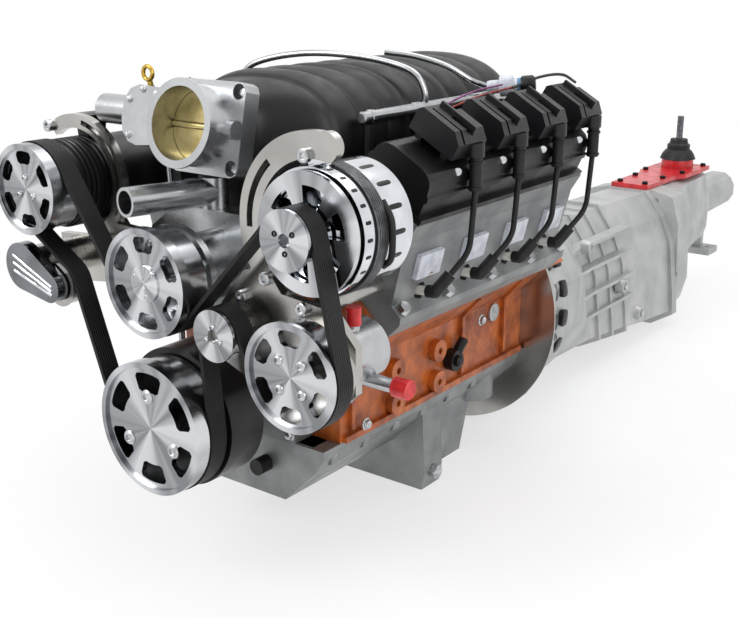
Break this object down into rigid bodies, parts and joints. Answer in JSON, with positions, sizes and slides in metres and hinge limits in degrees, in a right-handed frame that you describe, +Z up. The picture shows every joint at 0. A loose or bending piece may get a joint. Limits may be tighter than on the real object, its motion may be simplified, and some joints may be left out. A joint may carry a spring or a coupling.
{
  "type": "v8 engine",
  "caption": "Dressed V8 engine with its front accessory drive and a manual gearbox bolted to it.",
  "frame": {"origin": "middle of the sump's flat bottom, below the crank axis", "axes": "+Y along the crank axis towards the gearbox, +Z up, +X to the engine's left side"},
  "size_m": [0.6085, 2.076, 0.687],
  "materials": {
    "orange_iron": "satin paint on cast iron",
    "cast_alloy": "as cast",
    "machined_alloy": "machined",
    "billet": "polished",
    "chromed": "polished",
    "stator_black": "black enamel",
    "rotor_steel": "machined",
    "iron": "machined",
    "damper_black": "black",
    "piston_alloy": "machined",
    "cover_black": "black crinkle",
    "pale_plastic": "flat sheet",
    "moulded_black": "moulded",
    "rail_steel": "plated",
    "injector": "moulded",
    "rubber_black": "matt",
    "ceramic": "glazed",
    "red_caps": "glossy",
    "red_paint": "gloss",
    "yellow_handle": "gloss",
    "black_cap": "moulded"
  },
  "bodies": {
    "engine": {"ac_compressor": "chromed", "accessory_bracket": "billet", "alternator_bracket": "billet", "alternator_frames": "chromed", "alternator_stator": "stator_black", "block_plugs": "rotor_steel", "coil_brackets": "rotor_steel", "coil_packs": "moulded_black", "cylinder_head_left": "cast_alloy", "cylinder_head_right": "cast_alloy", "dipstick_tube": "rail_steel", "dust_cover": "rotor_steel", "engine_block": "orange_iron", "fuel_injectors": "injector", "fuel_rails": "rail_steel", "gearbox_case": "cast_alloy", "gearbox_top_cover": "red_paint", "head_bolts": "iron", "hose_necks": "machined_alloy", "intake_manifold": "moulded_black", "main_caps": "iron", "oil_pan": "cast_alloy", "pistons": "piston_alloy", "plug_boots": "rubber_black", "plug_leads_left": "rubber_black", "plug_leads_right": "rubber_black", "port_covers": "pale_plastic", "power_steering_caps": "red_caps", "power_steering_pump": "machined_alloy", "sensors": "moulded_black", "serpentine_belt": "rubber_black", "spark_plugs": "ceramic", "tail_housing": "cast_alloy", "tensioner_base": "machined_alloy", "throttle_body": "cast_alloy", "timing_chain": "rotor_steel", "timing_cover": "cast_alloy", "valve_cover_left": "cover_black", "valve_cover_right": "cover_black", "water_pump_housing": "cast_alloy"},
    "crank": {"crankshaft": "iron", "crank_damper": "damper_black", "crank_pulley": "billet", "flywheel": "iron", "clutch_cover": "iron"},
    "cam": {"camshaft": "rotor_steel"},
    "water_pump": {"water_pump_pulley": "billet"},
    "power_steering": {"power_steering_pulley": "billet"},
    "cooler": {"ac_pulley": "billet"},
    "alternator": {"alternator_rotor": "rotor_steel", "alternator_pulley": "billet"},
    "idler": {"idler_pulley": "billet"},
    "tensioner": {"tensioner_arm": "billet"},
    "tensioner_wheel": {"tensioner_pulley": "billet"},
    "throttle": {"throttle_blade": "rotor_steel"},
    "stick": {"dipstick": "yellow_handle"},
    "oil_cap": {"oil_filler_cap": "black_cap"},
    "shifter": {"gear_lever": "rotor_steel", "shifter_boot": "rubber_black"},
    "output": {"output_shaft": "rotor_steel"}
  },
  "joints": [
    {"name": "crank_spin", "type": "hinge", "parent": "engine", "child": "crank", "pos_m": [0, -0.108, 0.217], "axis": [0, 1, 0], "continuous": true},
    {"name": "cam_spin", "type": "hinge", "parent": "engine", "child": "cam", "pos_m": [0, -0.058, 0.3418], "axis": [0, 1, 0], "continuous": true},
    {"name": "water_pump_spin", "type": "hinge", "parent": "engine", "child": "water_pump", "pos_m": [0, -0.478, 0.41], "axis": [0, 1, 0], "continuous": true},
    {"name": "power_steering_spin", "type": "hinge", "parent": "engine", "child": "power_steering", "pos_m": [0.227, -0.478, 0.334], "axis": [0, 1, 0], "continuous": true},
    {"name": "cooler_spin", "type": "hinge", "parent": "engine", "child": "cooler", "pos_m": [-0.22, -0.478, 0.503], "axis": [0, 1, 0], "continuous": true},
    {"name": "alternator_spin", "type": "hinge", "parent": "engine", "child": "alternator", "pos_m": [0.2245, -0.478, 0.496], "axis": [0, 1, 0], "continuous": true},
    {"name": "idler_spin", "type": "hinge", "parent": "engine", "child": "idler", "pos_m": [0.108, -0.478, 0.361], "axis": [0, 1, 0], "continuous": true},
    {"name": "tensioner_wheel_spin", "type": "hinge", "parent": "tensioner", "child": "tensioner_wheel", "pos_m": [-0.185, -0.478, 0.374], "axis": [0, 1, 0], "continuous": true},
    {"name": "tensioner_swing", "type": "hinge", "parent": "engine", "child": "tensioner", "pos_m": [-0.24, -0.488, 0.395], "axis": [0, -1, 0], "range_deg": [-12, 0], "stiffness_Nm_per_rad": 30, "springref_deg": 20.05},
    {"name": "throttle_turn", "type": "hinge", "parent": "engine", "child": "throttle", "pos_m": [0, -0.39785, 0.59289], "axis": [1, 0, 0], "range_deg": [0, 80], "stiffness_Nm_per_rad": 0.4, "springref_deg": -17.19},
    {"name": "dipstick_pull", "type": "slide", "parent": "engine", "child": "stick", "axis": [-0.0716, -0.191, 0.979], "range_m": [0, 0.034]},
    {"name": "oil_cap_twist", "type": "hinge", "parent": "engine", "child": "oil_cap", "pos_m": [-0.24799, -0.243, 0.57854], "axis": [-0.5, 0, 0.866], "range_deg": [0, 90]},
    {"name": "shift_fore_aft", "type": "hinge", "parent": "engine", "child": "shifter", "pos_m": [0, 1.222, 0.3263], "axis": [1, 0, 0], "range_deg": [-12, 12]},
    {"name": "output_spin", "type": "hinge", "parent": "engine", "child": "output", "pos_m": [0, 1.532, 0.217], "axis": [0, 1, 0], "continuous": true}
  ],
  "couplings": [
    {"joint": "cam_spin", "follows": "crank_spin", "ratio": 0.5},
    {"joint": "water_pump_spin", "follows": "crank_spin", "ratio": -1.2899},
    {"joint": "power_steering_spin", "follows": "crank_spin", "ratio": 1.3485},
    {"joint": "cooler_spin", "follows": "crank_spin", "ratio": 1.4833},
    {"joint": "alternator_spin", "follows": "crank_spin", "ratio": 2.6176},
    {"joint": "idler_spin", "follows": "crank_spin", "ratio": -2.7812},
    {"joint": "tensioner_wheel_spin", "follows": "crank_spin", "ratio": -2.871}
  ]
}
